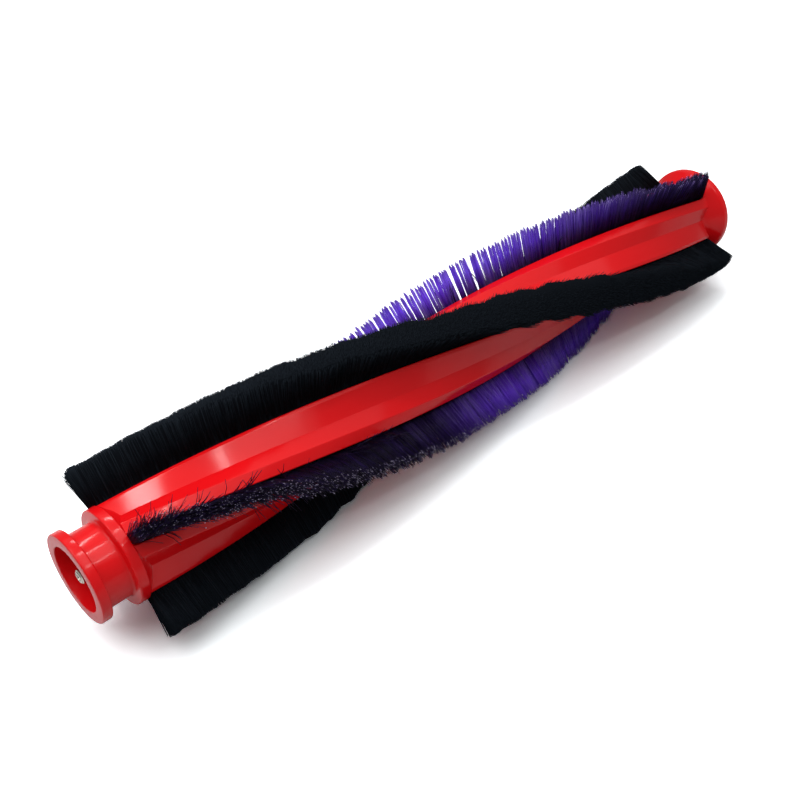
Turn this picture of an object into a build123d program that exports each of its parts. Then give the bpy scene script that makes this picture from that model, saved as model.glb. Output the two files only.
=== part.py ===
"""Roller brush of a cordless vacuum head: a twisted red core that carries two black pile strips
and two purple bristle strips in T-slots. It lies on the floor on its pile, with +X along the spin
axis and +Z up."""

import math
import os
import random

from build123d import *

# Overall sizes, in millimetres
LENGTH = 225.0
AXIS_HEIGHT = 20.4

# Collar end
COLLAR_R = 11.0
COLLAR_T = 2.4
NECK_R = 9.15
DISC_PROUD = 0.1
DISC_START = 8.75
DISC_T = 2.3
SOCKET_R = 8.05
SOCKET_DRAFT = 0.45
SOCKET_DEPTH = 10.0
RIM_EASE = 0.35
NECK_EASE = 0.5

# Drive end
FLANGE_R = 14.0
FLANGE_T = 2.6
FLANGE_ROUND = 1.2
DRIVE_R = 4.7
DRIVE_DEPTH = 15.0
SPLINE_COUNT = 6
SPLINE_W = 1.6
SPLINE_H = 0.9
SPIGOT_LENGTH = 14.0

# Keys of both caps, which slope down into the core's valleys
KEY_LENGTH = 2.5
KEY_TAPER = 45.0

# Fluted body
TURN_LENGTH = 430.5
GUIDE_R = 5.0
MID_ANGLE = 119.9
RIDGE_R = 11.65
LIP_R = 11.1
BLACK_LIP_ANGLE = 16.8
PURPLE_LIP_ANGLE = 22.5
CREASE_R = 9.2
CREASE_ANGLE = 46.5
LIP_EASE = 0.3
BORE_R = 6.4
BORE_SIDES = 16

# Slots and strips
SLOT_BLACK = 2.2
SLOT_PURPLE = 1.35
UNDERCUT = 0.95
SLOT_FLOOR = 8.1
UNDERCUT_TOP = 9.6
CLEARANCE = 0.3
STEM_TOP = 10.3
PILE_TIP_R = 21.6
BLACK_TIP_HALF = 4.0
PURPLE_TIP_HALF = 1.8
BLACK_STATIONS = 76
PURPLE_STATIONS = 100

# Axle pin
PIN_R = 1.7
PIN_ROOT_R = 2.1
PIN_TIP = 0.9
PIN_ROOT = 20.0
PIN_CHAMFER = 0.35
PIN_CENTRE_R = 0.75
PIN_CENTRE_DEPTH = 1.6

NEAR = -LENGTH / 2
SPIGOT_R = BORE_R * math.cos(math.pi / BORE_SIDES) - CLEARANCE
BODY_START = NEAR + DISC_START + DISC_T
DISC_R = RIDGE_R + DISC_PROUD
TAPER = math.tan(math.radians(KEY_TAPER))
BODY_END = LENGTH / 2 - FLANGE_T - (FLANGE_R - DISC_R) / TAPER
TWIST = 360.0 / TURN_LENGTH

os.makedirs("parts", exist_ok=True)


def across(x):
    """Plane across the spin axis at x: its own X is the row's +Y, its own Y is the row's +Z."""
    return Plane(origin=(x, 0, AXIS_HEIGHT), x_dir=(0, 1, 0), z_dir=(1, 0, 0))


def lengthwise():
    """Plane through the spin axis: its own X runs along the axis, its own Y is the radius."""
    return Plane(origin=(0, 0, AXIS_HEIGHT), x_dir=(1, 0, 0), z_dir=(0, -1, 0))


def strip_angle(x, turn):
    """Angle of a strip about the spin axis at x, from +Y towards +Z."""
    return MID_ANGLE + turn + TWIST * x


def polar(radius, degrees):
    angle = math.radians(degrees)
    return (radius * math.cos(angle), radius * math.sin(angle))


def guide_helix():
    """Helix that turns a section about the spin axis while it is swept along it."""
    return Helix(
        pitch=TURN_LENGTH,
        height=BODY_END - BODY_START,
        radius=GUIDE_R,
        center=(BODY_START, 0, AXIS_HEIGHT),
        direction=(1, 0, 0),
    )


def spin_line():
    return Line((BODY_START, 0, AXIS_HEIGHT), (BODY_END, 0, AXIS_HEIGHT))


SPIN_AXIS = Axis((0, 0, AXIS_HEIGHT), (1, 0, 0))

# Strips round the core: angle from the first black strip, slot half-width, half-angle of the ridge,
# and angle on to the next crease
STRIPS = {
    "black_1": (0.0, SLOT_BLACK, BLACK_LIP_ANGLE, CREASE_ANGLE),
    "purple_1": (90.0, SLOT_PURPLE, PURPLE_LIP_ANGLE, 90.0 - CREASE_ANGLE),
    "black_2": (180.0, SLOT_BLACK, BLACK_LIP_ANGLE, CREASE_ANGLE),
    "purple_2": (270.0, SLOT_PURPLE, PURPLE_LIP_ANGLE, 90.0 - CREASE_ANGLE),
}


# Roller core, one fluted and twisted moulding, open at both ends so that the strips slide in
with BuildPart() as roller_core:
    # Crowned ridges with a slot each, and two flat facets to a crease between them
    with BuildSketch(across(BODY_START)) as flutes:
        with BuildLine():
            corners = []
            for turn, half, lip, crease in STRIPS.values():
                middle = strip_angle(BODY_START, turn)
                edge = math.degrees(math.asin(half / RIDGE_R))
                corners.append(polar(LIP_R, middle - lip))
                corners.append(polar(RIDGE_R, middle - edge))
                corners.append(polar(RIDGE_R, middle + edge))
                corners.append(polar(LIP_R, middle + lip))
                corners.append(polar(CREASE_R, middle + crease))
            Polyline(*corners, close=True)
        make_face()
        for turn, half, lip, crease in STRIPS.values():
            with Locations(Rotation(0, 0, strip_angle(BODY_START, turn))):
                with Locations(((SLOT_FLOOR + RIDGE_R) / 2 + 1.0, 0)):
                    Rectangle(RIDGE_R - SLOT_FLOOR + 2.0, 2 * half, mode=Mode.SUBTRACT)
                with Locations(((SLOT_FLOOR + UNDERCUT_TOP) / 2, 0)):
                    Rectangle(UNDERCUT_TOP - SLOT_FLOOR, 2 * (half + UNDERCUT), mode=Mode.SUBTRACT)
        chamfer([v for v in flutes.vertices() if math.hypot(v.X, v.Y) > LIP_R - 0.2], LIP_EASE)
        RegularPolygon(BORE_R, BORE_SIDES, mode=Mode.SUBTRACT)
    with BuildLine() as core_path:
        spin_line()
    with BuildLine() as core_guide:
        guide_helix()
    sweep(sections=flutes.sketch, path=core_path.line, binormal=core_guide.line.edge())
roller_core.part.label = "roller_core"
export_step(roller_core.part, "parts/roller_core.step")


def valley_keys(seat, way):
    """Wedges of a cap that starts at seat: they sit in the core's valleys and slope down to its creases."""
    with BuildPart() as keys:
        with BuildSketch(across(seat)):
            for turn, half, lip, crease in STRIPS.values():
                middle = strip_angle(seat + way * KEY_LENGTH / 2, turn)
                next_lip = PURPLE_LIP_ANGLE if half == SLOT_BLACK else BLACK_LIP_ANGLE
                with BuildLine():
                    Polyline(
                        polar(CREASE_R + CLEARANCE, middle + crease),
                        polar(LIP_R + CLEARANCE, middle + lip),
                        polar(DISC_R + CLEARANCE, middle + lip),
                        polar(DISC_R + KEY_LENGTH, middle + crease),
                        polar(DISC_R + CLEARANCE, middle + 90.0 - next_lip),
                        polar(LIP_R + CLEARANCE, middle + 90.0 - next_lip),
                        close=True,
                    )
                make_face()
        extrude(amount=way * KEY_LENGTH)
        with BuildSketch(lengthwise()):
            with BuildLine():
                Polyline(
                    (seat, 0),
                    (seat, DISC_R),
                    (seat + way * KEY_LENGTH, DISC_R - KEY_LENGTH * TAPER),
                    (seat + way * KEY_LENGTH, 0),
                    close=True,
                )
            make_face()
        revolve(axis=SPIN_AXIS, mode=Mode.INTERSECT)
    return keys


# End cap: collar, neck and disc with an open socket, keys, and a spigot that plugs the core's bore
with BuildPart() as end_cap:
    with BuildSketch(lengthwise()) as near_profile:
        with BuildLine():
            Polyline(
                (NEAR, SOCKET_R),
                (NEAR, COLLAR_R),
                (NEAR + COLLAR_T, COLLAR_R),
                (NEAR + COLLAR_T, NECK_R),
                (NEAR + DISC_START, NECK_R),
                (NEAR + DISC_START, DISC_R),
                (BODY_START, DISC_R),
                (BODY_START, SPIGOT_R),
                (BODY_START + SPIGOT_LENGTH, SPIGOT_R),
                (BODY_START + SPIGOT_LENGTH, 0),
                (NEAR + PIN_ROOT, 0),
                (NEAR + PIN_ROOT, PIN_ROOT_R + CLEARANCE),
                (NEAR + SOCKET_DEPTH, PIN_ROOT_R + CLEARANCE),
                (NEAR + SOCKET_DEPTH, SOCKET_R - SOCKET_DRAFT),
                close=True,
            )
        make_face()
        corners = near_profile.vertices()
        chamfer([v for v in corners if v.Y > COLLAR_R - RIM_EASE and v.X < BODY_START - RIM_EASE], RIM_EASE)
        chamfer([v for v in near_profile.vertices() if abs(v.Y - NECK_R) < 0.01], NECK_EASE)
    revolve(axis=SPIN_AXIS)
    add(valley_keys(BODY_START, 1).part)
end_cap.part.label = "end_cap"
export_step(end_cap.part, "parts/end_cap.step")


# Drive cap: flange that flares from the core to a round rim, keys, and a spigot with a splined socket
with BuildPart() as drive_cap:
    with BuildSketch(lengthwise()) as far_profile:
        with BuildLine():
            Polyline(
                (BODY_END - SPIGOT_LENGTH, 0),
                (BODY_END - SPIGOT_LENGTH, SPIGOT_R),
                (BODY_END, SPIGOT_R),
                (BODY_END, DISC_R),
                (LENGTH / 2 - FLANGE_T, FLANGE_R),
                (LENGTH / 2, FLANGE_R),
                (LENGTH / 2, 0),
                close=True,
            )
        make_face()
        fillet([v for v in far_profile.vertices() if v.Y > FLANGE_R - 0.1], FLANGE_ROUND)
    revolve(axis=SPIN_AXIS)
    with BuildSketch(across(LENGTH / 2)):
        Circle(DRIVE_R)
        with PolarLocations(DRIVE_R, SPLINE_COUNT):
            Rectangle(2 * SPLINE_H, SPLINE_W, mode=Mode.SUBTRACT)
    extrude(amount=-DRIVE_DEPTH, mode=Mode.SUBTRACT)
    add(valley_keys(BODY_END, -1).part)
drive_cap.part.label = "drive_cap"
export_step(drive_cap.part, "parts/drive_cap.step")


# Stub axle pin with a centre-drilled tip and a thicker root held in the end cap
with BuildPart() as axle_pin:
    with BuildSketch(lengthwise()):
        with BuildLine():
            Polyline(
                (NEAR + PIN_TIP + PIN_CENTRE_DEPTH, 0),
                (NEAR + PIN_TIP, PIN_CENTRE_R),
                (NEAR + PIN_TIP, PIN_R - PIN_CHAMFER),
                (NEAR + PIN_TIP + PIN_CHAMFER, PIN_R),
                (NEAR + SOCKET_DEPTH, PIN_R),
                (NEAR + SOCKET_DEPTH, PIN_ROOT_R),
                (NEAR + PIN_ROOT, PIN_ROOT_R),
                (NEAR + PIN_ROOT, 0),
                close=True,
            )
        make_face()
    revolve(axis=SPIN_AXIS)
axle_pin.part.label = "axle_pin"
export_step(axle_pin.part, "parts/axle_pin.step")


def strip_backing(turn, half):
    """T-shaped rail of one strip, swept with the slot's twist."""
    foot = half + UNDERCUT - CLEARANCE
    stem = half - CLEARANCE
    with BuildPart() as rail:
        with BuildSketch(across(BODY_START)) as section:
            with Locations(Rotation(0, 0, strip_angle(BODY_START, turn))):
                with Locations(((SLOT_FLOOR + UNDERCUT_TOP) / 2, 0)):
                    Rectangle(UNDERCUT_TOP - SLOT_FLOOR - 2 * CLEARANCE, 2 * foot)
                with Locations(((UNDERCUT_TOP + STEM_TOP) / 2 - CLEARANCE, 0)):
                    Rectangle(STEM_TOP - UNDERCUT_TOP + 2 * CLEARANCE, 2 * stem)
        with BuildLine() as path:
            spin_line()
        with BuildLine() as guide:
            guide_helix()
        sweep(sections=section.sketch, path=path.line, binormal=guide.line.edge())
    return rail


def pile_outline(x, turn, half, tip_half, tip_r, lean, width):
    """Section of the pile at x: root in the slot, tips fanned out."""
    middle = strip_angle(x, turn)
    root = half - CLEARANCE
    reach = tip_half * width
    shape = [
        (STEM_TOP + CLEARANCE, -root),
        (STEM_TOP + CLEARANCE, root),
        (RIDGE_R + 0.1, root),
        (0.45 * RIDGE_R + 0.55 * tip_r, 0.55 * lean + 0.45 * root + 0.55 * reach),
        (tip_r - 0.5, lean + reach),
        (tip_r, lean + 0.45 * reach),
        (tip_r, lean - 0.45 * reach),
        (tip_r - 0.5, lean - reach),
        (0.45 * RIDGE_R + 0.55 * tip_r, 0.55 * lean - 0.45 * root - 0.55 * reach),
        (RIDGE_R + 0.1, -root),
    ]
    angle = math.radians(middle)
    points = []
    for r, s in shape:
        y = r * math.cos(angle) - s * math.sin(angle)
        z = r * math.sin(angle) + s * math.cos(angle)
        points.append((y, z))
    return points


def pile(turn, half, tip_half, stations, notch, waver, seed):
    """Pile of one strip: tips and flanks rise and fall from tuft to tuft, and the floor presses it flat."""
    chance = random.Random(seed)
    span = BODY_END - BODY_START
    phase = chance.uniform(0, 6.28)
    with BuildPart() as fibres:
        for i in range(stations + 1):
            x = BODY_START + span * i / stations
            between = i % 2
            tip_r = PILE_TIP_R - notch * between - chance.uniform(0.0, 0.25)
            width = 1.0 - 0.16 * between + chance.uniform(-0.06, 0.06)
            lean = waver * (0.6 * math.sin(phase + x / 2.1) + chance.uniform(-0.4, 0.4))
            with BuildSketch(across(x)):
                with BuildLine():
                    Polyline(*pile_outline(x, turn, half, tip_half, tip_r, lean, width), close=True)
                make_face()
        loft(ruled=True)
        if fibres.part.bounding_box().min.Z < 0:
            split(bisect_by=Plane.XY, keep=Keep.TOP)
    return fibres


for number, (strip, (turn, half, lip, crease)) in enumerate(STRIPS.items()):
    rail = strip_backing(turn, half)
    rail.part.label = "backing_" + strip
    export_step(rail.part, "parts/backing_" + strip + ".step")
    if half == SLOT_BLACK:
        fibres = pile(turn, half, BLACK_TIP_HALF, BLACK_STATIONS, 0.45, 0.55, 11 + number)
    else:
        fibres = pile(turn, half, PURPLE_TIP_HALF, PURPLE_STATIONS, 0.8, 0.25, 11 + number)
    fibres.part.label = "pile_" + strip
    export_step(fibres.part, "parts/pile_" + strip + ".step")
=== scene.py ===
"""Looks of a spiral roller brush: red fluted core and caps, black pile strips, purple bristle strips."""

import math

import bpy
import numpy as np
from mathutils import Matrix, Quaternion, Vector


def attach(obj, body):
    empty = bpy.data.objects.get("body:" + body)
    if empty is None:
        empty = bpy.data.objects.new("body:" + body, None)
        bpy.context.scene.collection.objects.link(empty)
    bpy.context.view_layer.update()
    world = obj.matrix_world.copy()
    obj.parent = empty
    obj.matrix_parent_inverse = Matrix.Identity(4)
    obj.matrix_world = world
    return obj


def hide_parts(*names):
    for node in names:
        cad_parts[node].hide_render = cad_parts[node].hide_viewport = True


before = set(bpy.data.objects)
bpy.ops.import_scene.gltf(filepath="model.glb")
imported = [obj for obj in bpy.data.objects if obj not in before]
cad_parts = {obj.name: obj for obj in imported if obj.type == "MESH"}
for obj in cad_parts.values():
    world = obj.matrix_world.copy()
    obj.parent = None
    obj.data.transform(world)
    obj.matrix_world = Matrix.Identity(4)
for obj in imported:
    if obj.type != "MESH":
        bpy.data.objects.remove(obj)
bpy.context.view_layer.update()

MM = 0.001

# Sizes of the roller, in millimetres, as the solids have them
LENGTH = 225.0
AXIS_HEIGHT = 20.4
COLLAR_R = 11.0
COLLAR_T = 2.4
NECK_R = 9.15
DISC_R = 11.75
DISC_START = 8.75
DISC_T = 2.3
KEY_LENGTH = 3.4
SOCKET_R = 8.05
SOCKET_DRAFT = 0.45
SOCKET_DEPTH = 10.0
PIN_HOLE_R = 2.4
FLANGE_R = 14.0
FLANGE_T = 2.6
FLANGE_ROUND = 1.2
SPIGOT_R = 6.0
SPIGOT_LENGTH = 14.0
DRIVE_R = 4.7
DRIVE_DEPTH = 15.0
SPLINE_COUNT = 6
SPLINE_W = 1.6
SPLINE_H = 0.9
SPLINE_SHORT = 0.8
SPLINE_SINK = 0.3
SPLINE_EASE = 0.2
CENTRE_HOLE_R = 0.4
TWIST = 360.0 / 430.5
MID_ANGLE = 119.9
RIDGE_R = 11.65
LIP_R = 11.1
BLACK_LIP_ANGLE = 16.8
PURPLE_LIP_ANGLE = 22.5
CREASE_R = 9.2
CREASE_ANGLE = 46.5
SLOT_FLOOR = 8.1
UNDERCUT = 0.95
UNDERCUT_TOP = 9.6
SLOT_BLACK = 2.2
SLOT_PURPLE = 1.35
LIP_EASE = 0.55
SLOT_EASE = 0.28
SPIGOT_BITE = 0.4
DRILL_PAST = 5.0
PILE_TIP_R = 21.6
PILE_ROOT_R = 11.0
PILE_ROOM = 0.35
PILE_SPREAD = 4.3
BED_ROOT_R = 10.45
BED_UNDER_SIDE = 0.45
BED_UNDER_TOP = 0.75
BED_SHORT = 0.6
BRISTLE_ROOT_R = 10.6
BRISTLE_ROOM = 0.45
BRISTLE_PAST = 0.15
POINT_DROP = 2.0
OPEN_SLIT = 0.19
END_BACK = 0.30
END_PAST = 0.12
STRAY_ROOT_R = 11.2
STRAY_ROOT_SIDE = 0.9
STRAY_LOW_R = 15.0
STRAY_RISE = 4.5
STRAY_LEAST = 2.2
FRAYED_RUN = 0.6
END_ROOM = 0.1
CORNER_GAP = 0.01
FLOOR_SKIN = 0.15

# Shares: fibres at frayed ends, tufts with an open slit, how far tips gather in a clump
FRAYED_SHARE = 0.03
OPEN_SHARE = 0.12
GATHER = 0.45

# One fibre: its tip's share of the root's width, where it bends, and a direction that lies along no fibre
FIBRE_TAPER = 0.55
FIBRE_BEND = 0.55
ASKEW = (0.31, 0.77, 0.55)

# Painted glints on bristle tips: where along the fibre they start, their tone and what is left of the
# darkening
GLINT_START = 0.9
GLINT_TONE = 0.95
GLINT_DARKENING_LEFT = 0.25

# How finely the pieces are made
CORE_STEPS = 240
CORE_EDGE_STEPS = 8
BED_STEPS = 300
TURNED_STEPS = 128
TURNED_EDGE_STEPS = 6
DRILL_SIDES = 48
CORE_SMOOTH = math.radians(14)
TURNED_SMOOTH = math.radians(28)
BED_SMOOTH = math.radians(50)
PILE_FIBRES = 24500
TUFTS = 100
TUFT_FIBRES = 140
TUFT_CLUMPS = 2
STRAY_GROUP = 4

NEAR = -LENGTH / 2
BODY_START = NEAR + DISC_START + DISC_T
BODY_END = LENGTH / 2 - FLANGE_T - (FLANGE_R - DISC_R)

# Strips round the core: angle from the first black strip, half-width of the slot,
# half-angle of the ridge, angle on to the crease
STRIPS = {
    "black_1": (0.0, SLOT_BLACK, BLACK_LIP_ANGLE, CREASE_ANGLE),
    "purple_1": (90.0, SLOT_PURPLE, PURPLE_LIP_ANGLE, 90.0 - CREASE_ANGLE),
    "black_2": (180.0, SLOT_BLACK, BLACK_LIP_ANGLE, CREASE_ANGLE),
    "purple_2": (270.0, SLOT_PURPLE, PURPLE_LIP_ANGLE, 90.0 - CREASE_ANGLE),
}


# Helpers for hand modelling

def let_go():
    bpy.ops.object.select_all(action="DESELECT")


def take(obj):
    let_go()
    obj.select_set(True)
    bpy.context.view_layer.objects.active = obj


def strip_angle(x, turn):
    """Angle of a strip about the spin axis at x, from +Y towards +Z, in degrees."""
    return MID_ANGLE + turn + TWIST * x


def rounded(corners, steps):
    """Closed outline with each corner eased by its own radius in a small arc; radius 0 leaves it sharp."""
    points = [Vector((a, b)) for a, b, radius in corners]
    out = []
    for i, corner in enumerate(points):
        radius = corners[i][2]
        if radius <= 0:
            out.append(corner)
            continue
        before = (points[i - 1] - corner).normalized()
        after = (points[(i + 1) % len(points)] - corner).normalized()
        half = math.acos(max(-1.0, min(1.0, before.dot(after)))) / 2
        reach = radius / math.tan(half)
        centre = corner + (before + after).normalized() * (radius / math.sin(half))
        first = corner + before * reach - centre
        last = corner + after * reach - centre
        sweep = first.angle_signed(last)
        for k in range(steps + 1):
            out.append(centre + Matrix.Rotation(-sweep * k / steps, 2) @ first)
    return out


def outline_ring(name, points):
    """Ring of edges through points in millimetres, the start of a wound or turned piece."""
    let_go()
    bpy.ops.mesh.primitive_circle_add(vertices=len(points), radius=0.01, fill_type="NOTHING")
    ring = bpy.context.object
    ring.name = ring.data.name = name
    for vertex, point in zip(ring.data.vertices, points):
        vertex.co = [value * MM for value in point]
    return ring


def settle(piece, shift):
    """Faces turned outwards, and the whole mesh moved by a shift in millimetres."""
    take(piece)
    bpy.ops.object.mode_set(mode="EDIT")
    bpy.ops.mesh.select_all(action="SELECT")
    bpy.ops.mesh.normals_make_consistent(inside=False)
    bpy.ops.transform.translate(value=[value * MM for value in shift])
    bpy.ops.object.mode_set(mode="OBJECT")
    return piece


def wind(name, outline, steps):
    """An outline across the axis, placed at the body's start and wound along the spiral with a screw."""
    piece = outline_ring(name, [(0.0, y, z) for y, z in outline])
    run = (BODY_END - BODY_START) * MM
    screw = piece.modifiers.new("spiral", "SCREW")
    screw.axis = "X"
    screw.angle = math.radians(TWIST * (BODY_END - BODY_START))
    screw.screw_offset = run
    screw.steps = screw.render_steps = steps
    screw.use_merge_vertices = False
    bpy.ops.object.modifier_apply(modifier="spiral")
    bpy.ops.object.mode_set(mode="EDIT")
    for end in (0.0, run):
        bpy.ops.mesh.select_all(action="DESELECT")
        bpy.ops.object.mode_set(mode="OBJECT")
        for vertex in piece.data.vertices:
            vertex.select = abs(vertex.co.x - end) < 1e-6
        bpy.ops.object.mode_set(mode="EDIT")
        bpy.ops.mesh.select_mode(type="VERT")
        bpy.ops.mesh.edge_face_add()
    bpy.ops.object.mode_set(mode="OBJECT")
    return settle(piece, (BODY_START, 0.0, AXIS_HEIGHT))


def lathe(name, corners):
    """A closed profile of places along the axis and radii, edges eased, spun once round the spin axis."""
    piece = outline_ring(name, [(x, 0.0, r) for x, r in rounded(corners, TURNED_EDGE_STEPS)])
    screw = piece.modifiers.new("lathe", "SCREW")
    screw.axis = "X"
    screw.angle = 2 * math.pi
    screw.steps = screw.render_steps = TURNED_STEPS
    screw.use_merge_vertices = True
    screw.merge_threshold = 1e-6
    bpy.ops.object.modifier_apply(modifier="lathe")
    return settle(piece, (0.0, 0.0, AXIS_HEIGHT))


# Materials

def new_material(name):
    material = bpy.data.materials.new(name)
    material.use_nodes = True
    tree = material.node_tree
    return material, tree.nodes, tree.links, tree.nodes["Principled BSDF"]


def moulding_marks():
    """Shared effect: faint waviness and fine grain of moulded plastic, as a height and a roughness shift."""
    group = bpy.data.node_groups.new("moulding_marks", "ShaderNodeTree")
    group.interface.new_socket("Ripple Scale", in_out="INPUT", socket_type="NodeSocketFloat")
    group.interface.new_socket("Grain Scale", in_out="INPUT", socket_type="NodeSocketFloat")
    group.interface.new_socket("Height", in_out="OUTPUT", socket_type="NodeSocketFloat")
    group.interface.new_socket("Roughness Shift", in_out="OUTPUT", socket_type="NodeSocketFloat")
    nodes, links = group.nodes, group.links
    entry = nodes.new("NodeGroupInput")
    leave = nodes.new("NodeGroupOutput")
    place = nodes.new("ShaderNodeTexCoord")
    ripple = nodes.new("ShaderNodeTexNoise")
    grain = nodes.new("ShaderNodeTexNoise")
    grain.inputs["Detail"].default_value = 3.0
    links.new(place.outputs["Object"], ripple.inputs["Vector"])
    links.new(place.outputs["Object"], grain.inputs["Vector"])
    links.new(entry.outputs["Ripple Scale"], ripple.inputs["Scale"])
    links.new(entry.outputs["Grain Scale"], grain.inputs["Scale"])
    blend = nodes.new("ShaderNodeMath")
    blend.operation = "MULTIPLY_ADD"
    blend.inputs[1].default_value = 0.12
    links.new(grain.outputs["Fac"], blend.inputs[0])
    links.new(ripple.outputs["Fac"], blend.inputs[2])
    links.new(blend.outputs[0], leave.inputs["Height"])
    shift = nodes.new("ShaderNodeMapRange")
    shift.inputs["From Min"].default_value = 0.3
    shift.inputs["From Max"].default_value = 0.7
    shift.inputs["To Min"].default_value = -0.012
    shift.inputs["To Max"].default_value = 0.02
    links.new(grain.outputs["Fac"], shift.inputs["Value"])
    links.new(shift.outputs["Result"], leave.inputs["Roughness Shift"])
    return group


MARKS = moulding_marks()


def plastic(name, colour, deep, roughness, specular):
    """Glossy moulded plastic with a slight change of tone and faint surface waviness."""
    material, nodes, links, shader = new_material(name)
    place = nodes.new("ShaderNodeTexCoord")
    cloud = nodes.new("ShaderNodeTexNoise")
    cloud.inputs["Scale"].default_value = 60.0
    cloud.inputs["Detail"].default_value = 2.0
    links.new(place.outputs["Object"], cloud.inputs["Vector"])
    tone = nodes.new("ShaderNodeValToRGB")
    tone.color_ramp.elements[0].position = 0.3
    tone.color_ramp.elements[0].color = (*deep, 1)
    tone.color_ramp.elements[1].position = 0.7
    tone.color_ramp.elements[1].color = (*colour, 1)
    links.new(cloud.outputs["Fac"], tone.inputs["Fac"])
    links.new(tone.outputs["Color"], shader.inputs["Base Color"])
    marks = nodes.new("ShaderNodeGroup")
    marks.node_tree = MARKS
    marks.inputs["Ripple Scale"].default_value = 140.0
    marks.inputs["Grain Scale"].default_value = 2600.0
    rough = nodes.new("ShaderNodeMath")
    rough.operation = "ADD"
    rough.inputs[1].default_value = roughness
    links.new(marks.outputs["Roughness Shift"], rough.inputs[0])
    links.new(rough.outputs[0], shader.inputs["Roughness"])
    bump = nodes.new("ShaderNodeBump")
    bump.inputs["Strength"].default_value = 0.004
    bump.inputs["Distance"].default_value = 0.0004
    links.new(marks.outputs["Height"], bump.inputs["Height"])
    links.new(bump.outputs["Normal"], shader.inputs["Normal"])
    shader.inputs["Specular IOR Level"].default_value = specular
    return material


def turned_steel(name):
    """Bright turned steel: fine rings round the spin axis, patches of tarnish and a dark centre of painted
    shade for a drilled hole.
    """
    material, nodes, links, shader = new_material(name)
    place = nodes.new("ShaderNodeTexCoord")
    centre = nodes.new("ShaderNodeMapping")
    centre.inputs["Location"].default_value = (0.0, 0.0, -AXIS_HEIGHT * MM)
    links.new(place.outputs["Object"], centre.inputs["Vector"])
    rings = nodes.new("ShaderNodeTexWave")
    rings.wave_type = "RINGS"
    rings.rings_direction = "X"
    rings.inputs["Scale"].default_value = 900.0
    rings.inputs["Distortion"].default_value = 0.6
    links.new(centre.outputs["Vector"], rings.inputs["Vector"])
    tone = nodes.new("ShaderNodeMapRange")
    tone.inputs["To Min"].default_value = 0.18
    tone.inputs["To Max"].default_value = 0.34
    links.new(rings.outputs["Fac"], tone.inputs["Value"])
    links.new(tone.outputs["Result"], shader.inputs["Roughness"])
    shade = nodes.new("ShaderNodeValToRGB")
    shade.color_ramp.elements[0].color = (0.44, 0.40, 0.34, 1)
    shade.color_ramp.elements[1].color = (0.66, 0.62, 0.54, 1)
    links.new(rings.outputs["Fac"], shade.inputs["Fac"])
    patch = nodes.new("ShaderNodeTexNoise")
    patch.inputs["Scale"].default_value = 330.0
    patch.inputs["Detail"].default_value = 3.0
    links.new(place.outputs["Object"], patch.inputs["Vector"])
    cover = nodes.new("ShaderNodeMapRange")
    cover.inputs["From Min"].default_value = 0.54
    cover.inputs["From Max"].default_value = 0.66
    links.new(patch.outputs["Fac"], cover.inputs["Value"])
    across = nodes.new("ShaderNodeVectorMath")
    across.operation = "MULTIPLY"
    across.inputs[1].default_value = (0.0, 1.0, 1.0)
    links.new(centre.outputs["Vector"], across.inputs[0])
    radius = nodes.new("ShaderNodeVectorMath")
    radius.operation = "LENGTH"
    links.new(across.outputs["Vector"], radius.inputs[0])
    # Painted shade: a dark disc round the axis stands for the shade in a drilled centre hole
    hole_shade = nodes.new("ShaderNodeMapRange")
    hole_shade.inputs["From Min"].default_value = 0.00050
    hole_shade.inputs["From Max"].default_value = 0.00072
    hole_shade.inputs["To Min"].default_value = 1.0
    hole_shade.inputs["To Max"].default_value = 0.0
    links.new(radius.outputs["Value"], hole_shade.inputs["Value"])
    tarnish_and_hole_mask = nodes.new("ShaderNodeMath")
    tarnish_and_hole_mask.operation = "MAXIMUM"
    links.new(cover.outputs["Result"], tarnish_and_hole_mask.inputs[0])
    links.new(hole_shade.outputs["Result"], tarnish_and_hole_mask.inputs[1])
    # One mix gives the real tarnish patches and the painted shade of the centre
    tarnish_and_hole_shade = nodes.new("ShaderNodeMix")
    tarnish_and_hole_shade.data_type = "RGBA"
    tarnish_and_hole_shade.inputs["B"].default_value = (0.10, 0.055, 0.030, 1)
    links.new(tarnish_and_hole_mask.outputs[0], tarnish_and_hole_shade.inputs["Factor"])
    links.new(shade.outputs["Color"], tarnish_and_hole_shade.inputs["A"])
    links.new(tarnish_and_hole_shade.outputs["Result"], shader.inputs["Base Color"])
    shader.inputs["Metallic"].default_value = 1.0
    return material


def fibres_material(name, stops, bright, darkening, roughness, specular):
    """Pile fibre: the fibre map gives the place along each fibre, its own tone and how far it is darkened; on
    the purple bristles the darkening is painted shade.
    """
    material, nodes, links, shader = new_material(name)
    fibre = nodes.new("ShaderNodeAttribute")
    fibre.attribute_name = "fibre"
    split = nodes.new("ShaderNodeSeparateColor")
    links.new(fibre.outputs["Color"], split.inputs["Color"])
    along = nodes.new("ShaderNodeValToRGB")
    ramp = along.color_ramp
    while len(ramp.elements) < len(stops):
        ramp.elements.new(0.5)
    for element, (place, colour) in zip(ramp.elements, stops):
        element.position = place
        element.color = (*colour, 1)
    links.new(split.outputs["Red"], along.inputs["Fac"])
    own = nodes.new("ShaderNodeMix")
    own.data_type = "RGBA"
    own.inputs["B"].default_value = (*bright, 1)
    links.new(along.outputs["Color"], own.inputs["A"])
    links.new(split.outputs["Green"], own.inputs["Factor"])
    darkened = nodes.new("ShaderNodeMix")
    darkened.data_type = "RGBA"
    darkened.inputs["B"].default_value = (*darkening, 1)
    links.new(own.outputs["Result"], darkened.inputs["A"])
    links.new(split.outputs["Blue"], darkened.inputs["Factor"])
    links.new(darkened.outputs["Result"], shader.inputs["Base Color"])
    shader.inputs["Roughness"].default_value = roughness
    shader.inputs["Specular IOR Level"].default_value = specular
    return material
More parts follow.
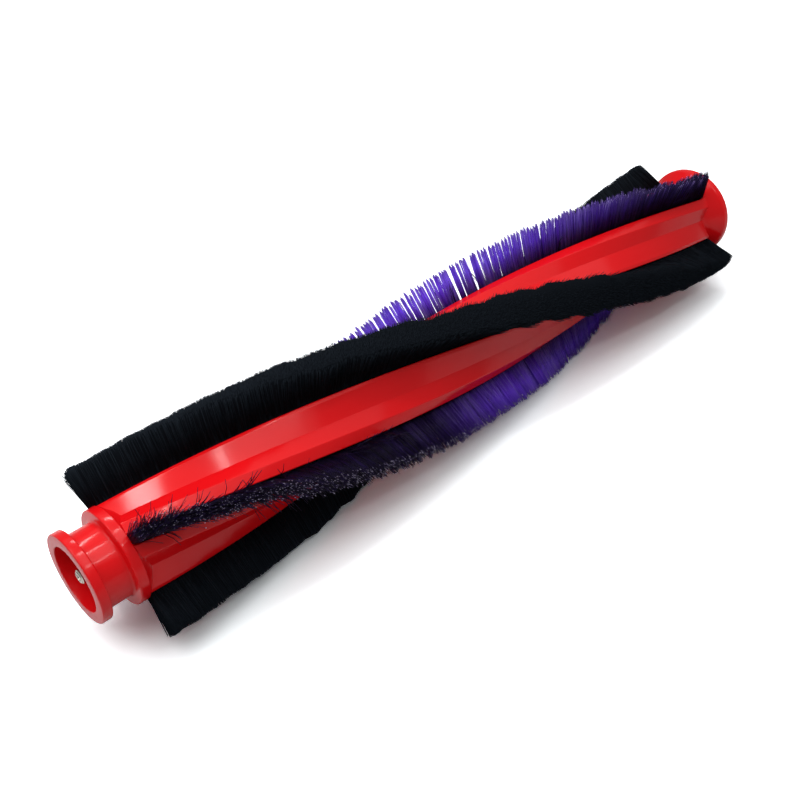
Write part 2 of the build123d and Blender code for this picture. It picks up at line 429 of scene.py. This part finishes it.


# Colours from the root of a fibre to its tip, with painted shade: darker towards the root, and the purple
# darker again at the very tip
BLACK_STOPS = (
    (0.0, (0.0048, 0.0063, 0.0088)),
    (0.5, (0.0075, 0.0100, 0.0140)),
    (1.0, (0.0125, 0.0165, 0.0225)),
)
PURPLE_STOPS = (
    (0.0, (0.018, 0.008, 0.070)),
    (0.22, (0.090, 0.022, 0.460)),
    (0.65, (0.190, 0.050, 0.900)),
    (0.94, (0.150, 0.042, 0.700)),
    (1.0, (0.060, 0.022, 0.260)),
)
# Painted glints: pale colours for short pieces on bristle tips
GLINT_STOPS = ((0.0, (0.16, 0.12, 0.30)), (1.0, (0.36, 0.31, 0.52)))
RED = plastic("red_moulding", (0.78, 0.006, 0.009), (0.75, 0.005, 0.008), 0.14, 0.23)
STEEL = turned_steel("turned_steel")
BACKING = plastic("dark_backing", (0.03, 0.03, 0.034), (0.022, 0.022, 0.026), 0.5, 0.4)
BLACK = fibres_material("black_fibre", BLACK_STOPS, (0.016, 0.021, 0.028), (0.004, 0.005, 0.007), 0.95, 0.02)
PURPLE = fibres_material("purple_fibre", PURPLE_STOPS, (0.52, 0.38, 1.0), (0.0065, 0.0036, 0.013), 0.45, 0.14)
PURPLE_GLINT = fibres_material("painted_glint_fibre", GLINT_STOPS, (0.60, 0.56, 0.74), (0.02, 0.013, 0.034), 0.45, 0.14)


def dress(obj, material):
    obj.data.materials.clear()
    obj.data.materials.append(material)


# Core

def core_outline():
    """Outline of the fluted core across the axis at the body's start, edges eased and slots undercut."""
    corners = []
    for turn, half, lip_angle, crease_angle in STRIPS.values():
        middle = math.radians(strip_angle(BODY_START, turn))
        lip, crease = math.radians(lip_angle), math.radians(crease_angle)
        rim = RIDGE_R * math.cos(math.asin(half / RIDGE_R))
        wide = half + UNDERCUT
        own = [
            (LIP_R * math.cos(lip), -LIP_R * math.sin(lip), LIP_EASE),
            (rim, -half, SLOT_EASE),
            (UNDERCUT_TOP, -half, 0.0),
            (UNDERCUT_TOP, -wide, 0.0),
            (SLOT_FLOOR, -wide, 0.0),
            (SLOT_FLOOR, wide, 0.0),
            (UNDERCUT_TOP, wide, 0.0),
            (UNDERCUT_TOP, half, 0.0),
            (rim, half, SLOT_EASE),
            (LIP_R * math.cos(lip), LIP_R * math.sin(lip), LIP_EASE),
            (CREASE_R * math.cos(crease), CREASE_R * math.sin(crease), 0.0),
        ]
        for r, s, ease in own:
            y = r * math.cos(middle) - s * math.sin(middle)
            z = r * math.sin(middle) + s * math.cos(middle)
            corners.append((y, z, ease))
    return rounded(corners, CORE_EDGE_STEPS)


def drill_bar(x0, x1, radius):
    """A plain bar along the spin axis, used as a cutter."""
    let_go()
    bpy.ops.mesh.primitive_cylinder_add(
        vertices=DRILL_SIDES, radius=radius * MM, depth=(x1 - x0) * MM,
        location=((x0 + x1) / 2 * MM, 0.0, AXIS_HEIGHT * MM), rotation=(0.0, math.pi / 2, 0.0),
    )
    bpy.ops.object.transform_apply(location=True, rotation=True, scale=True)
    return bpy.context.object


def make_core():
    """Fluted core with a bore at the far end that takes the drive flange's spigot."""
    core = wind("fluted_core", core_outline(), CORE_STEPS)
    drill = drill_bar(BODY_END - SPIGOT_LENGTH, BODY_END + DRILL_PAST, SPIGOT_R - SPIGOT_BITE)
    take(core)
    bore = core.modifiers.new("bore", "BOOLEAN")
    bore.operation = "DIFFERENCE"
    bore.object = drill
    bpy.ops.object.modifier_apply(modifier="bore")
    bpy.data.objects.remove(drill)
    bpy.ops.object.shade_smooth_by_angle(angle=CORE_SMOOTH)
    dress(core, RED)
    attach(core, "root")
    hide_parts("roller_core")


def make_end_cap():
    """Collar, neck and rim with a drafted socket; behind the rim a cone shows in the core's valleys."""
    # Place along the axis, radius and easing of each corner
    corners = [
        (NEAR, SOCKET_R, 0.2),
        (NEAR, COLLAR_R, 0.35),
        (NEAR + COLLAR_T, COLLAR_R, 0.3),
        (NEAR + COLLAR_T, NECK_R, 0.45),
        (NEAR + DISC_START, NECK_R, 0.55),
        (NEAR + DISC_START, DISC_R, 0.3),
        (BODY_START, DISC_R, 0.12),
        (BODY_START + KEY_LENGTH, DISC_R - KEY_LENGTH, 0.0),
        (BODY_START + KEY_LENGTH, PIN_HOLE_R, 0.0),
        (NEAR + SOCKET_DEPTH, PIN_HOLE_R, 0.15),
        (NEAR + SOCKET_DEPTH, SOCKET_R - SOCKET_DRAFT, 0.4),
    ]
    cap = lathe("collar_cap", corners)
    bpy.ops.object.shade_smooth_by_angle(angle=TURNED_SMOOTH)
    dress(cap, RED)
    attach(cap, "root")
    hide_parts("end_cap")


def socket_splines(face):
    """One spline modelled on the wall of the drive socket and copied round the axis."""
    let_go()
    bpy.ops.mesh.primitive_cube_add(size=1.0)
    spline = bpy.context.object
    spline.dimensions = ((DRIVE_DEPTH - SPLINE_SHORT) * MM, SPLINE_W * MM, (SPLINE_H + SPLINE_SINK) * MM)
    bpy.ops.object.transform_apply(location=True, rotation=True, scale=True)
    bpy.ops.object.mode_set(mode="EDIT")
    bpy.ops.mesh.select_all(action="SELECT")
    bpy.ops.mesh.bevel(offset=SPLINE_EASE * MM, segments=2)
    along = face - (DRIVE_DEPTH + SPLINE_SHORT) / 2
    height = AXIS_HEIGHT + DRIVE_R - SPLINE_H / 2 + SPLINE_SINK / 2
    bpy.ops.transform.translate(value=Vector((along, 0.0, height)) * MM)
    bpy.ops.object.mode_set(mode="OBJECT")
    splines = [spline]
    for k in range(1, SPLINE_COUNT):
        take(spline)
        bpy.ops.object.duplicate()
        splines.append(bpy.context.object)
        bpy.ops.object.mode_set(mode="EDIT")
        bpy.ops.mesh.select_all(action="SELECT")
        bpy.ops.transform.rotate(
            value=2 * math.pi * k / SPLINE_COUNT,
            orient_axis="X",
            center_override=(0.0, 0.0, AXIS_HEIGHT * MM),
        )
        bpy.ops.object.mode_set(mode="OBJECT")
    return splines


def make_drive_flange():
    """Flange that flares out of the core to a round rim, with a splined socket in its outer face."""
    face = LENGTH / 2
    # Place along the axis, radius and easing of each corner
    corners = [
        (BODY_END - SPIGOT_LENGTH, SPIGOT_R, 0.0),
        (BODY_END - KEY_LENGTH, SPIGOT_R, 0.0),
        (BODY_END - KEY_LENGTH, DISC_R - KEY_LENGTH, 0.0),
        (face - FLANGE_T, FLANGE_R, FLANGE_ROUND),
        (face, FLANGE_R, FLANGE_ROUND),
        (face, DRIVE_R, 0.35),
        (face - DRIVE_DEPTH, DRIVE_R, 0.3),
        (face - DRIVE_DEPTH, CENTRE_HOLE_R, 0.0),
        (BODY_END - SPIGOT_LENGTH, CENTRE_HOLE_R, 0.0),
    ]
    flange = lathe("drive_flange", corners)
    splines = socket_splines(face)
    take(flange)
    for spline in splines:
        spline.select_set(True)
    bpy.ops.object.join()
    bpy.ops.object.shade_smooth_by_angle(angle=TURNED_SMOOTH)
    dress(flange, RED)
    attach(flange, "root")
    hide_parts("drive_cap")


# Fibres

def one_fibre(bends):
    """One fibre of unit length modelled by hand: a thin three-sided taper, parted once if it bends."""
    let_go()
    bpy.ops.mesh.primitive_cone_add(
        vertices=3, radius1=1.0, radius2=FIBRE_TAPER, depth=1.0, location=(0, 0, 0.5)
    )
    pattern = bpy.context.object
    bpy.ops.object.transform_apply(location=True, rotation=True, scale=True)
    if bends:
        bpy.ops.object.mode_set(mode="EDIT")
        bpy.ops.mesh.select_all(action="SELECT")
        bpy.ops.mesh.bisect(plane_co=(0, 0, FIBRE_BEND), plane_no=(0, 0, 1))
        bpy.ops.object.mode_set(mode="OBJECT")
    corners = np.array([v.co[:] for v in pattern.data.vertices])
    faces = [tuple(p.vertices) for p in pattern.data.polygons]
    bpy.data.objects.remove(pattern)
    return corners, faces


def plant(name, pattern, root, tip, bow, thick, tone, darkening, spark, deep=0.0):
    """Copies of one fibre set from root to tip points, bowed a little, joined as one piece."""
    corners, faces = pattern
    count = len(root)
    h = corners[:, 2][None, :, None]
    way = tip - root
    way /= np.linalg.norm(way, axis=1)[:, None]
    side = np.cross(way, np.array(ASKEW))
    side /= np.linalg.norm(side, axis=1)[:, None]
    other = np.cross(way, side)
    place = root[:, None, :] * (1 - h) + tip[:, None, :] * h + bow[:, None, :] * (4 * h * (1 - h))
    place = place + thick[:, None, None] * (
        side[:, None, :] * corners[None, :, 0, None] + other[:, None, :] * corners[None, :, 1, None]
    )
    place[..., 2] = np.maximum(place[..., 2], FLOOR_SKIN)
    flat = np.concatenate([np.array(f) for f in faces])
    sizes = np.array([len(f) for f in faces])
    loops = (np.arange(count)[:, None] * len(corners) + flat[None, :]).ravel()
    totals = np.tile(sizes, count)
    starts = np.concatenate([[0], np.cumsum(totals)[:-1]])
    mesh = bpy.data.meshes.new(name)
    mesh.vertices.add(count * len(corners))
    mesh.vertices.foreach_set("co", (place * MM).astype(np.float32).ravel())
    mesh.loops.add(len(loops))
    mesh.loops.foreach_set("vertex_index", loops.astype(np.int32))
    mesh.polygons.add(len(totals))
    mesh.polygons.foreach_set("loop_start", starts.astype(np.int32))
    mesh.update(calc_edges=True)
    mesh.validate()
    layer = mesh.attributes.new("fibre", "FLOAT_COLOR", "POINT")
    values = np.ones((count, len(corners), 4), np.float32)
    values[..., 0] = corners[None, :, 2]
    values[..., 1] = tone[:, None]
    # Painted shade: deep darkens each fibre more towards its root
    values[..., 2] = darkening[:, None] + (1 - darkening[:, None]) * deep * (1 - corners[None, :, 2])
    # Painted glints: the tips of spark fibres take a bright tone and lose most of their darkening
    ends = spark[:, None] & (corners[None, :, 2] > GLINT_START)
    values[..., 1] = np.where(ends, GLINT_TONE, values[..., 1])
    values[..., 2] = np.where(ends, GLINT_DARKENING_LEFT * values[..., 2], values[..., 2])
    layer.data.foreach_set("color", values.ravel())
    piece = bpy.data.objects.new(name, mesh)
    bpy.context.scene.collection.objects.link(piece)
    take(piece)
    bpy.ops.object.shade_smooth()
    return piece


def around(x, r, s, turn):
    """Points at place x along the axis, radius r and sideways offset s of a strip, in the row frame."""
    angle = np.radians(strip_angle(x, turn))
    y = r * np.cos(angle) - s * np.sin(angle)
    z = r * np.sin(angle) + s * np.cos(angle) + AXIS_HEIGHT
    return np.stack([x, y, z], axis=-1)


def slow_waver(rng, periods, size):
    """Smooth wander along a strip as a function of place, a sum of a few waves with drawn phases."""
    waves = [(p * rng.uniform(0.85, 1.15), rng.uniform(0.6, 1.0), rng.uniform(0, 6.28)) for p in periods]

    def wander(x):
        heights = [high * np.sin(2 * math.pi * x / period + phase) for period, high, phase in waves]
        return size / len(waves) * sum(heights)

    return wander


def lie_down(root, tip, rng):
    """Tips that would go under the floor lie along it, spread outwards unevenly."""
    under = np.maximum(FLOOR_SKIN - tip[:, 2], 0)
    away = np.sign(tip[:, 1] - root[:, 1])
    tip[:, 1] += away * under * rng.uniform(0.0, 1.3, len(tip))
    tip[:, 0] += under * rng.normal(0, 0.5, len(tip))
    tip[:, 2] = np.maximum(tip[:, 2], FLOOR_SKIN + rng.uniform(0, 0.3, len(tip)) * (under > 0))
    return tip


def end_lean(x, near, far, run):
    """Lean of the fibres near the two ends of a strip, dying out over the run."""
    first = np.clip(1 - (x - BODY_START) / run, 0, 1)
    last = np.clip(1 - (BODY_END - x) / run, 0, 1)
    return near * first ** 2 + far * last ** 2


# Flank of the pile's body from the slot to the crest: share of the height, share of the reach
BED_FLANK = ((0.30, -0.55), (0.62, -0.82), (0.86, -0.98), (0.97, -0.86), (1.0, -0.5), (1.0, 0.0))


def pile_bed(name, turn, half, reach, crest, lean):
    """Close-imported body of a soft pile, just under the loose fibre ends; it swells and leans with them."""
    middle = math.radians(strip_angle(BODY_START, turn))
    own = [(BED_ROOT_R, 0.0, -half), (RIDGE_R, 0.0, -half)]
    own += [(RIDGE_R, u, v) for u, v in BED_FLANK]
    own += [(r, u, -v) for r, u, v in reversed(own[:-1])]
    # A thin start that keeps the corners apart; each vertex is then put in its place
    outline = []
    for k, (r, u, v) in enumerate(own):
        outline.append((r * math.cos(middle) - k * CORNER_GAP, r * math.sin(middle) + k * CORNER_GAP))
    bed = wind(name, outline, BED_STEPS)
    for vertex in bed.data.vertices:
        r, u, v = own[vertex.index % len(own)]
        x = np.array(min(max(vertex.co.x / MM, BODY_START + BED_SHORT), BODY_END - BED_SHORT))
        if u > 0:
            side = v * (float(reach(x, v)) - BED_UNDER_SIDE)
            high = RIDGE_R + u * (float(crest(x)) - BED_UNDER_TOP - RIDGE_R)
        else:
            side, high = v, r
        share = max(0.0, (high - RIDGE_R) / (PILE_TIP_R - RIDGE_R))
        point = around(x, high, side, turn)
        point[0] += share * float(end_lean(x, *lean))
        point[2] = max(point[2], FLOOR_SKIN)
        vertex.co = Vector(point) * MM
    # The bed takes the fibres' root colour, which carries their painted shade
    layer = bed.data.attributes.new("fibre", "FLOAT_COLOR", "POINT")
    for value in layer.data:
        value.color = (0.0, 0.0, 0.0, 1.0)
    settle(bed, (0.0, 0.0, 0.0))
    bpy.ops.object.shade_smooth_by_angle(angle=BED_SMOOTH)
    dress(bed, BLACK)
    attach(bed, "root")


def black_pile(strip, seed, lean, swell):
    """Soft pile: fibres fan out from the slot, and each flank swells and shrinks on its own."""
    rng = np.random.default_rng(seed)
    turn = STRIPS[strip][0]
    count = PILE_FIBRES
    half = SLOT_BLACK - PILE_ROOM
    long_a, short_a = slow_waver(rng, (9.0, 13.0, 27.0), 1.0), slow_waver(rng, (2.1, 3.3), 0.25)
    long_b, short_b = slow_waver(rng, (8.0, 14.0, 31.0), 1.0), slow_waver(rng, (1.9, 3.1), 0.25)
    ripple = slow_waver(rng, (6.0, 17.0), 0.25)

    def reach(x, side):
        flank_b = long_b(x) + short_b(x) + np.interp(x, *swell)
        return PILE_SPREAD + np.where(side > 0, long_a(x) + short_a(x), flank_b)

    def crest(x):
        return PILE_TIP_R + ripple(x)

    # A few fibres crowd the two ends, so that the ends fray
    x = rng.uniform(BODY_START + END_ROOM, BODY_END - END_ROOM, count)
    frayed = rng.uniform(0, 1, count) < FRAYED_SHARE
    near_end = rng.uniform(0, 1, count) < 0.5
    end = np.where(near_end, BODY_START + END_ROOM, BODY_END - (FRAYED_RUN + END_ROOM))
    x = np.where(frayed, end + rng.uniform(0, FRAYED_RUN, count), x)
    fan = rng.uniform(-1, 1, count)
    root = around(x, np.full(count, PILE_ROOT_R), fan * half, turn)
    tip_s = fan * reach(x, fan) + rng.normal(0, 0.22, count)
    tip_r = crest(x) - np.abs(rng.normal(0, 0.32, count)) - 0.05 * np.abs(tip_s) ** 2 * np.abs(fan)
    tip = around(x, tip_r, tip_s, turn)
    tip[:, 0] = x + end_lean(x, *lean) + rng.normal(0, 0.30, count) * np.where(frayed, 1.4, 1.0)
    tip = lie_down(root, tip, rng)
    pile = plant(
        "black_pile_" + strip[-1], one_fibre(False), root, tip,
        bow=np.zeros((count, 3)),
        thick=rng.uniform(0.07, 0.10, count),
        tone=rng.uniform(0, 1, count) ** 3,
        darkening=np.zeros(count),
        spark=np.zeros(count, bool),
    )
    dress(pile, BLACK)
    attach(pile, "root")
    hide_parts("pile_" + strip)
    pile_bed("black_bed_" + strip[-1], turn, half, reach, crest, lean)


def purple_pile(
    strip, seed, spread, skew, lean, slant, side_lean, painted_shade, unruly, droop,
    deep=0.0, sparks=0.0, glints=None,
):
    """Stiff bristles in tufts: slits stay open between tufts, and the tips gather in uneven points."""
    rng = np.random.default_rng(seed)
    turn = STRIPS[strip][0]
    half = SLOT_PURPLE - BRISTLE_ROOM

    # Each tuft has its own place, slit, lean and tone
    pitch = (BODY_END - BODY_START) / TUFTS
    tuft_x = BODY_START + pitch * (np.arange(TUFTS) + 0.5) + rng.normal(0, 0.10, TUFTS)
    open_slit, shut_slit = rng.uniform(0.0, 0.15, TUFTS), rng.uniform(-0.20, 0.05, TUFTS)
    slit = np.where(np.arange(TUFTS) % 2 == 0, open_slit, shut_slit)
    slit = np.where(rng.uniform(0, 1, TUFTS) < OPEN_SHARE, OPEN_SLIT, slit)
    tuft_half = pitch / 2 - slit
    tuft_lean = slow_waver(rng, (8.0, 23.0), 0.30)(tuft_x) + rng.normal(0, 0.15, TUFTS)
    tuft_x_lean = rng.normal(0, 0.20, TUFTS)
    tuft_tone = rng.uniform(0, 0.25, TUFTS)
    clump_tall = -np.abs(rng.normal(0, 0.50, (TUFTS, TUFT_CLUMPS)))
    clump_x = rng.normal(0, 0.12, (TUFTS, TUFT_CLUMPS))

    # Bristles of all the tufts, with the clump that each belongs to and its offset from the clump's middle
    which = np.repeat(np.arange(TUFTS), TUFT_FIBRES)
    count = len(which)
    within = rng.uniform(-1, 1, count)
    clump = np.minimum(((within + 1) / 2 * TUFT_CLUMPS).astype(int), TUFT_CLUMPS - 1)
    off = (within + 1) / 2 * TUFT_CLUMPS - clump - 0.5
    x = tuft_x[which] + within * tuft_half[which]
    fan = rng.uniform(-1, 1, count)
    root_s = fan * half
    wild = np.interp(x, *unruly)
    tip_s = spread * fan + tuft_lean[which] + rng.normal(0, 0.14, count) * (1 + 3 * wild)
    tip_s = tip_s + end_lean(x, *side_lean) + np.interp(x, *droop)
    root = around(x, np.full(count, BRISTLE_ROOT_R), root_s, turn)
    root[:, 0] = np.clip(x + skew * root_s, BODY_START + END_ROOM, BODY_END - END_ROOM)
    tip_r = PILE_TIP_R + BRISTLE_PAST + clump_tall[which, clump] - POINT_DROP * np.abs(off)
    tip_r = tip_r - np.abs(rng.normal(0, 0.25, count)) - wild * np.abs(rng.normal(0, 0.8, count))
    tip = around(x, tip_r, tip_s, turn)
    gather = -GATHER * off * 2 * tuft_half[which] / TUFT_CLUMPS + clump_x[which, clump]
    tip[:, 0] = x + gather + skew * fan * spread + tuft_x_lean[which]
    tip[:, 0] += rng.normal(0, 0.06, count) * (1 + 8 * wild) + end_lean(x, *lean) + np.interp(x, *slant)
    tip = lie_down(root, tip, rng)
    pile = plant(
        "purple_bristles_" + strip[-1], one_fibre(True), root, tip,
        bow=rng.normal(0, 0.07, (count, 3)) * (1 + 2 * wild[:, None]),
        tone=np.clip(tuft_tone[which] + rng.uniform(-0.2, 0.2, count), 0, 0.45),
        # Painted shade: bristles are darkened where the strip lies in shade, by the profile along the strip
        darkening=np.clip(np.interp(x, *painted_shade) + rng.normal(0, 0.06, count), 0, 1),
        spark=rng.uniform(0, 1, count) < sparks,
        thick=rng.uniform(0.055, 0.085, count),
        deep=deep,
    )
    dress(pile, PURPLE)
    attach(pile, "root")
    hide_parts("pile_" + strip)
    # Painted glints: pale short pieces on some bristle tips
    if glints:
        first, last, number = glints
        few = rng.choice(np.nonzero((x > first) & (x < last))[0], number, replace=False)
        painted_glint_ends("bristle_ends_" + strip[-1], root[few], tip[few], rng)


def painted_glint_ends(name, root, tip, rng):
    """Short pieces on the ends of some bristles, coloured pale as painted glints."""
    count = len(root)
    way = tip - root
    way /= np.linalg.norm(way, axis=1)[:, None]
    ends = plant(
        name, one_fibre(False), tip - END_BACK * way, tip + END_PAST * way,
        bow=np.zeros((count, 3)),
        thick=rng.uniform(0.06, 0.12, count),
        tone=rng.uniform(0.0, 1.0, count),
        darkening=rng.uniform(0.0, 0.7, count),
        spark=np.zeros(count, bool),
    )
    dress(ends, PURPLE_GLINT)
    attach(ends, "root")


def stray_bristles(strip, seed, first, last, count, reach):
    """Single bristles bent out of line on both sides of a strip, a few to a group."""
    rng = np.random.default_rng(seed)
    turn = STRIPS[strip][0]
    groups = count // STRAY_GROUP
    which = rng.integers(0, groups, count)
    x = np.clip(rng.uniform(first, last, groups)[which] + rng.normal(0, 0.45, count), first, last)
    side = rng.choice((-1.0, 1.0), groups)[which]
    root = around(x, np.full(count, STRAY_ROOT_R), side * STRAY_ROOT_SIDE, turn)
    far = rng.uniform(0, 1, count) ** 1.6
    tip_r = STRAY_LOW_R + STRAY_RISE * rng.uniform(0, 1, count)
    tip = around(x, tip_r, side * (STRAY_LEAST + (reach - STRAY_LEAST) * far), turn)
    tip[:, 0] = x + rng.normal(1.2, 1.2, groups)[which] + rng.normal(0, 0.5, count)
    none = np.zeros(count)
    outwards = around(x, np.ones(count), none, turn) - around(x, none, none, turn)
    strays = plant(
        "stray_bristles_" + strip[-1], one_fibre(True), root, tip,
        bow=outwards * rng.uniform(0.4, 1.3, count)[:, None],
        thick=rng.uniform(0.09, 0.14, count),
        tone=none,
        darkening=rng.uniform(0.97, 1.0, count),
        spark=np.zeros(count, bool),
    )
    dress(strays, PURPLE)
    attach(strays, "root")


# Pin and backings keep their solids
for node, material in (
    ("axle_pin", STEEL),
    ("backing_black_1", BACKING),
    ("backing_black_2", BACKING),
    ("backing_purple_1", BACKING),
    ("backing_purple_2", BACKING),
):
    dress(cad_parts[node], material)

make_core()
make_end_cap()
make_drive_flange()

# Profiles along a strip are places in millimetres and the values there; leans are near end, far end and run
black_pile(
    "black_1", 21, lean=(-0.3, 0.2, 12.0),
    swell=((-10, 10, 25, 45, 65, 85, 100), (0.0, 1.4, 2.6, 2.0, 1.8, 0.4, 0.0)),
)
purple_pile(
    "purple_1", 22, spread=2.0, skew=0.0, lean=(-0.4, 0.6, 9.0), side_lean=(0.0, 0.0, 9.0),
    slant=((-100, 100), (0.3, 0.3)),
    # Painted shade: darkest at the near end, none from x=8, a little at the far end
    painted_shade=((-102, -40, -18, -4, 8, 60, 107), (1.0, 0.99, 0.90, 0.42, 0.0, 0.0, 0.3)),
    unruly=((-102, -60, -20), (1.0, 0.8, 0.0)),
    droop=((-70, -40, -12, 15), (0.0, 2.6, 2.0, 0.0)),
    # deep paints shade towards the roots; glints adds painted pale tips
    deep=0.25, glints=(-101.0, 45.0, 1700),
)
black_pile("black_2", 23, lean=(0.5, -6.0, 14.0), swell=((-90, -65, -35, -5), (0.3, 2.0, 2.6, 0.3)))
purple_pile(
    "purple_2", 24, spread=0.95, skew=-0.75, lean=(-0.4, -4.3, 15.0), side_lean=(0.0, -2.6, 26.0),
    slant=((-100, -50, 40, 85), (1.5, 2.0, 1.6, 0.0)),
    # Painted shade: darkened towards the far end
    painted_shade=((-102, 30, 62, 80, 107), (0.0, 0.0, 0.55, 0.88, 0.95)),
    unruly=((-102, 60, 107), (0.0, 0.0, 0.3)),
    droop=((-100, 100), (0.0, 0.0)),
    # sparks: share of bristles with painted glints on their tips
    sparks=0.07,
)
stray_bristles("purple_1", 31, BODY_START + 0.5, BODY_START + 70.0, 230, 6.0)
stray_bristles("purple_2", 32, BODY_START + 0.5, BODY_END - 0.5, 60, 4.0)


# Floor, light and camera

def watched(nodes, links, mirrored):
    """1 for the camera's rays and rays through clear things, a share for mirrored ones, 0 for the rest."""
    path = nodes.new("ShaderNodeLightPath")
    share = nodes.new("ShaderNodeMath")
    share.operation = "MULTIPLY"
    share.inputs[1].default_value = mirrored
    links.new(path.outputs["Is Glossy Ray"], share.inputs[0])
    seen = nodes.new("ShaderNodeMath")
    seen.operation = "MAXIMUM"
    links.new(path.outputs["Is Camera Ray"], seen.inputs[0])
    links.new(share.outputs[0], seen.inputs[1])
    through = nodes.new("ShaderNodeMath")
    through.operation = "MAXIMUM"
    links.new(seen.outputs[0], through.inputs[0])
    links.new(path.outputs["Is Transmission Ray"], through.inputs[1])
    return through.outputs[0]


def make_floor():
    let_go()
    bpy.ops.mesh.primitive_plane_add(size=2.0, location=(0, 0, 0))
    floor = bpy.context.object
    floor.name = "floor"
    material, nodes, links, shader = new_material("white_floor")
    shader.inputs["Roughness"].default_value = 0.6
    shader.inputs["Specular IOR Level"].default_value = 0.2
    white = nodes.new("ShaderNodeMix")
    white.data_type = "RGBA"
    white.inputs["A"].default_value = (0.40, 0.40, 0.40, 1)
    white.inputs["B"].default_value = (1.52, 1.57, 1.60, 1)
    links.new(watched(nodes, links, 0.3), white.inputs["Factor"])
    links.new(white.outputs["Result"], shader.inputs["Base Color"])
    dress(floor, material)


def softbox(name, place, aim, size, power, depth=None, spin=0.0):
    """Rectangular lamp that faces its aim, turned about the vertical by the spin."""
    lamp = bpy.data.lights.new(name, "AREA")
    lamp.shape = "RECTANGLE"
    lamp.size = size
    lamp.size_y = depth or size
    lamp.energy = power
    holder = bpy.data.objects.new(name, lamp)
    bpy.context.scene.collection.objects.link(holder)
    holder.location = place
    holder.rotation_mode = "QUATERNION"
    facing = (Vector(aim) - Vector(place)).to_track_quat("-Z", "Y")
    holder.rotation_quaternion = Quaternion((0, 0, 1), math.radians(spin)) @ facing


def make_light():
    world = bpy.data.worlds.new("studio")
    bpy.context.scene.world = world
    world.use_nodes = True
    nodes, links = world.node_tree.nodes, world.node_tree.links
    level = nodes.new("ShaderNodeMapRange")
    level.inputs["To Min"].default_value = 0.27
    level.inputs["To Max"].default_value = 1.0
    links.new(watched(nodes, links, 0.1), level.inputs["Value"])
    nodes["Background"].inputs["Color"].default_value = (1, 1, 1, 1)
    links.new(level.outputs["Result"], nodes["Background"].inputs["Strength"])
    softbox("overhead", (0.12, 0.10, 1.10), (0, 0, 0), 2.0, 7.2)
    softbox("key", (-0.45, 0.15, 0.98), (0.02, 0, 0), 0.9, 5.6)
    softbox("panel", (0.06, -0.15, 0.60), (0.06, 0, 0.02), 0.20, 0.34, 0.34)
    softbox("front_lamp", (0.06, -0.33, 0.57), (0.06, 0, 0.02), 0.16, 0.18, 0.022)
    softbox("middle_lamp", (0.07, 0.03, 0.62), (0.07, 0, 0.02), 0.16, 0.30, 0.024)
    softbox("near_lamp", (-0.066, 0.074, 0.130), (-0.066, 0.074, 0), 0.036, 0.028, 0.011, spin=117.0)


def make_camera():
    lens = bpy.data.cameras.new("camera")
    lens.sensor_width = 36.0
    lens.lens = 47.113
    lens.clip_start, lens.clip_end = 0.01, 20.0
    camera = bpy.data.objects.new("camera", lens)
    bpy.context.scene.collection.objects.link(camera)
    right = Vector((0.72633, -0.68735, 0.0))
    up = Vector((0.44355, 0.46870, 0.76392))
    back = -Vector((0.52508, 0.55486, -0.64531))
    turn = Matrix((right, up, back)).transposed().to_4x4()
    camera.matrix_world = Matrix.Translation((-0.161958, -0.152497, 0.192609)) @ turn
    bpy.context.scene.camera = camera


make_floor()
make_light()
make_camera()
bpy.context.scene.view_settings.view_transform = "Standard"
